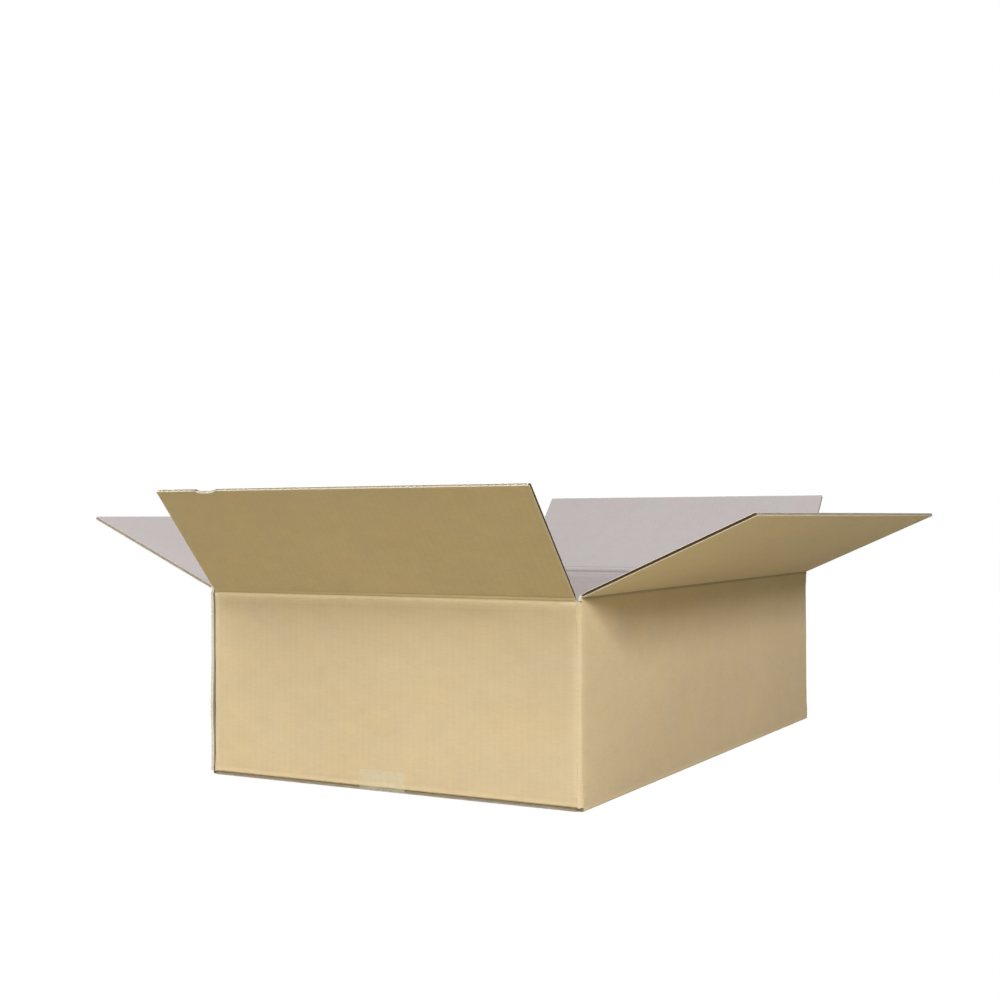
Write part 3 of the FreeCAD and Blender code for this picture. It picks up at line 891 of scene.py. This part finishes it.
class CARTON_OT_bottom(bpy.types.Operator):
    """Build the four bottom flaps, folded in under the walls and lying in two layers"""

    bl_idname = "carton.bottom"
    bl_label = "Bottom flaps"

    def execute(self, context):
        sizes = context.scene.carton_sizes
        tape_half, tape_room, long_extra = 0.0243, 0.00013, 0.0024
        for number, side in enumerate(SIDES):
            base, facing, heights, fold_at = bottom_path(side)
            span = flap_facts(side, sizes)[3]
            room, extra = (tape_room, long_extra) if side in LONG_SIDES else (0.0, 0.0)
            widen = extra * smooth((half_size(side) - base[:, 0] - 0.003) / 0.003)
            low, high = span[0] - widen, span[1] + widen
            shares = spread(span[1] - span[0], (0, 0.0006, 0.0016, 0.004, 0.01), 40)
            end = torn_edge(0.00006, number)
            shell = board_along(side, base, facing, low, high, heights, shares, sizes,
                                bottom_relief(fold_at, heights[-1] + tape_half, room),
                                bottom_fold_paleness(fold_at), end=end, way=-1.0, recess_by=0.05, core=PRESSED)
            waves = fluting(side, base[-1], facing[-1], low[-1], high[-1], heights[-1], sizes,
                            number + 6, end, -1.0)
            piece = make_piece(side + "_bottom_flap", joined(shell, waves),
                               board_materials(context.scene))
            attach(piece, "box")
            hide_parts("carton_body")
        return {"FINISHED"}


class CARTON_OT_tape(bpy.types.Operator):
    """Lay the clear tape along the bottom seam and up the front and back walls"""

    bl_idname = "carton.tape"
    bl_label = "Clear tape"

    def execute(self, context):
        sizes = context.scene.carton_sizes
        film = 0.8 * (TAPE_HIGH.y - HALF_LENGTH)
        bend, tooth_depth = 0.002, 0.0008
        half, reach, lap = TAPE_HIGH
        turn = np.linspace(0, math.pi / 2, 9)
        climb = np.linspace(0, 1, 12)[:-1]
        half_y = np.concatenate([np.full(len(climb), reach), reach - bend + bend * np.cos(turn)])
        half_z = np.concatenate([lap + (bend - lap) * climb, bend - bend * np.sin(turn)])
        half_turn = np.concatenate([0 * climb, turn])
        to_middle = np.linspace(reach - bend, 0, 30)[1:]
        under = np.concatenate([to_middle, -to_middle[-2::-1]])
        y = np.concatenate([half_y, under, -half_y[::-1]])
        z = np.concatenate([half_z, 0 * under, half_z[::-1]])
        angle = np.concatenate([half_turn, np.full(len(under), math.pi / 2), math.pi - half_turn[::-1]])
        facing = np.stack([np.cos(angle), -np.sin(angle)], axis=-1)
        across = np.arange(-half, half + 1e-9, sizes.tooth / 2)
        end = np.zeros((len(y), len(across)))
        end[0] = tooth_depth * (np.arange(len(across)) % 2)
        end[-1] = end[0, ::-1]
        sheets = []
        for depth in (0.0, film):
            out = y[:, None] - depth * facing[:, :1] + 0 * end
            up = z[:, None] - depth * facing[:, 1:] - end
            sheets.append(np.stack([np.broadcast_to(across, out.shape), out, up], axis=-1))
        points, faces, paint = slab(*sheets)
        shell = (points, faces, 0 * paint, points, np.zeros(len(points)))
        tape = tape_material(context.scene.carton_colours.tape)
        piece = make_piece("clear_tape_strip", shell, [tape])
        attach(piece, "box")
        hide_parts("bottom_tape")
        return {"FINISHED"}


def set_lamp(scene, name, power, size, turn, climb, distance):
    """Square lamp aimed at the box: turn is its angle to the right of straight in front, climb its
    angle above the floor, both in degrees, and distance is measured from the middle of the box."""
    turn, climb = math.radians(turn), math.radians(climb)
    light = bpy.data.lights.new(name, "AREA")
    light.energy = power
    light.size = size
    lamp = bpy.data.objects.new(name, light)
    level = math.cos(climb)
    toward = Vector((math.sin(turn) * level, -math.cos(turn) * level, math.sin(climb)))
    lamp.location = distance * toward + Vector((0, 0, 0.1))
    lamp.rotation_euler = (-toward).to_track_quat("-Z", "Y").to_euler()
    scene.collection.objects.link(lamp)


def seen_share(tree):
    """Share that is 1 for what the camera sees, directly, in a gloss or through the clear film."""
    path = put(tree, "LightPath", {})
    seen = maths(tree, "MAXIMUM", path.outputs["Is Camera Ray"], path.outputs["Is Glossy Ray"])
    return maths(tree, "MAXIMUM", seen, path.outputs["Is Transmission Ray"])


class CARTON_OT_stage(bpy.types.Operator):
    """Set the floor, the soft lamps, the white background and the camera"""

    bl_idname = "carton.stage"
    bl_label = "Stage"

    def execute(self, context):
        scene = context.scene
        stage = scene.carton_stage
        half_floor, lines, drop = 8.0, 9, 0.0004
        line = np.linspace(-half_floor, half_floor, lines)
        x, y = np.meshgrid(line, line, indexing="ij")
        grid = np.stack([x, y, np.full_like(x, -drop)], axis=-1)
        mesh = bpy.data.meshes.new("studio_floor")
        order = np.arange(lines * lines).reshape(lines, lines)
        mesh.from_pydata(grid.reshape(-1, 3).tolist(), [], quads(order).tolist())
        floor = bpy.data.objects.new("studio_floor", mesh)
        scene.collection.objects.link(floor)
        material, tree, shader = new_material("floor_white")
        white = (stage.floor, stage.floor, stage.floor, 1.0)
        shader.inputs["Base Color"].default_value = shade(white, (1.0, 0.94, 0.64))
        shader.inputs["Roughness"].default_value = 0.9
        glow = put(tree, "Emission", {"Color": (1, 1, 1, 1), "Strength": 1.045})
        share = maths(tree, "MULTIPLY", seen_share(tree), 0.95)
        mix = put(tree, "MixShader", {0: share, 1: shader.outputs["BSDF"], 2: glow.outputs["Emission"]})
        output = next(node for node in tree.nodes if node.type == "OUTPUT_MATERIAL")
        tree.links.new(mix.outputs["Shader"], output.inputs["Surface"])
        mesh.materials.append(material)
        world = bpy.data.worlds.new("studio_air")
        scene.world = world
        world.use_nodes = True
        air = world.node_tree
        air.nodes.clear()
        around = put(air, "Background", {"Color": (1.0, 0.92, 0.65, 1), "Strength": stage.fill})
        blank = put(air, "Background", {"Color": (1, 1, 1, 1), "Strength": 1.0})
        both = put(air, "MixShader", {0: seen_share(air), 1: around.outputs[0], 2: blank.outputs[0]})
        put(air, "OutputWorld", {"Surface": both.outputs[0]})
        set_lamp(scene, "key_lamp", stage.key_power, stage.key_size, *KEY_PLACE)
        set_lamp(scene, "high_lamp", stage.high_power, stage.high_size, *HIGH_PLACE)
        set_lamp(scene, "back_lamp", stage.back_power, stage.high_size, *BACK_PLACE)
        camera_data = bpy.data.cameras.new("camera")
        camera_data.lens = stage.lens
        camera_data.sensor_width = 36.0
        camera = bpy.data.objects.new("camera", camera_data)
        camera.location = CAMERA_PLACE
        level = Euler((math.pi / 2 + CAMERA_TILT, 0.0, CAMERA_TURN)).to_matrix()
        camera.rotation_euler = (level @ Matrix.Rotation(CAMERA_ROLL, 3, "Z")).to_euler()
        scene.collection.objects.link(camera)
        scene.camera = camera
        scene.view_settings.view_transform = "Standard"
        return {"FINISHED"}


class CARTON_PT_panel(bpy.types.Panel):
    """The carton's operators and settings"""

    bl_idname = "CARTON_PT_panel"
    bl_label = "Carton"
    bl_space_type = "VIEW_3D"
    bl_region_type = "UI"
    bl_category = "Carton"

    def draw(self, context):
        for operator in OPERATORS:
            self.layout.operator(operator.bl_idname)
        scene = context.scene
        for group in (scene.carton_sizes, scene.carton_colours, scene.carton_stage):
            box = self.layout.box()
            for name in group.__annotations__:
                box.prop(group, name)


OPERATORS = (
    CARTON_OT_walls,
    CARTON_OT_creases,
    CARTON_OT_flaps,
    CARTON_OT_bottom,
    CARTON_OT_tape,
    CARTON_OT_stage,
)
GROUPS = (CartonSizes, CartonColours, CartonStage)


def register():
    for kind in (*GROUPS, *OPERATORS, CARTON_PT_panel):
        bpy.utils.register_class(kind)
    bpy.types.Scene.carton_sizes = bpy.props.PointerProperty(type=CartonSizes)
    bpy.types.Scene.carton_colours = bpy.props.PointerProperty(type=CartonColours)
    bpy.types.Scene.carton_stage = bpy.props.PointerProperty(type=CartonStage)


def unregister():
    del bpy.types.Scene.carton_stage
    del bpy.types.Scene.carton_colours
    del bpy.types.Scene.carton_sizes
    for kind in reversed((*GROUPS, *OPERATORS, CARTON_PT_panel)):
        bpy.utils.unregister_class(kind)


def main():
    register()
    bpy.ops.carton.walls()
    bpy.ops.carton.creases()
    bpy.ops.carton.flaps()
    bpy.ops.carton.bottom()
    bpy.ops.carton.tape()
    bpy.ops.carton.stage()


if __name__ == "__main__":
    main()
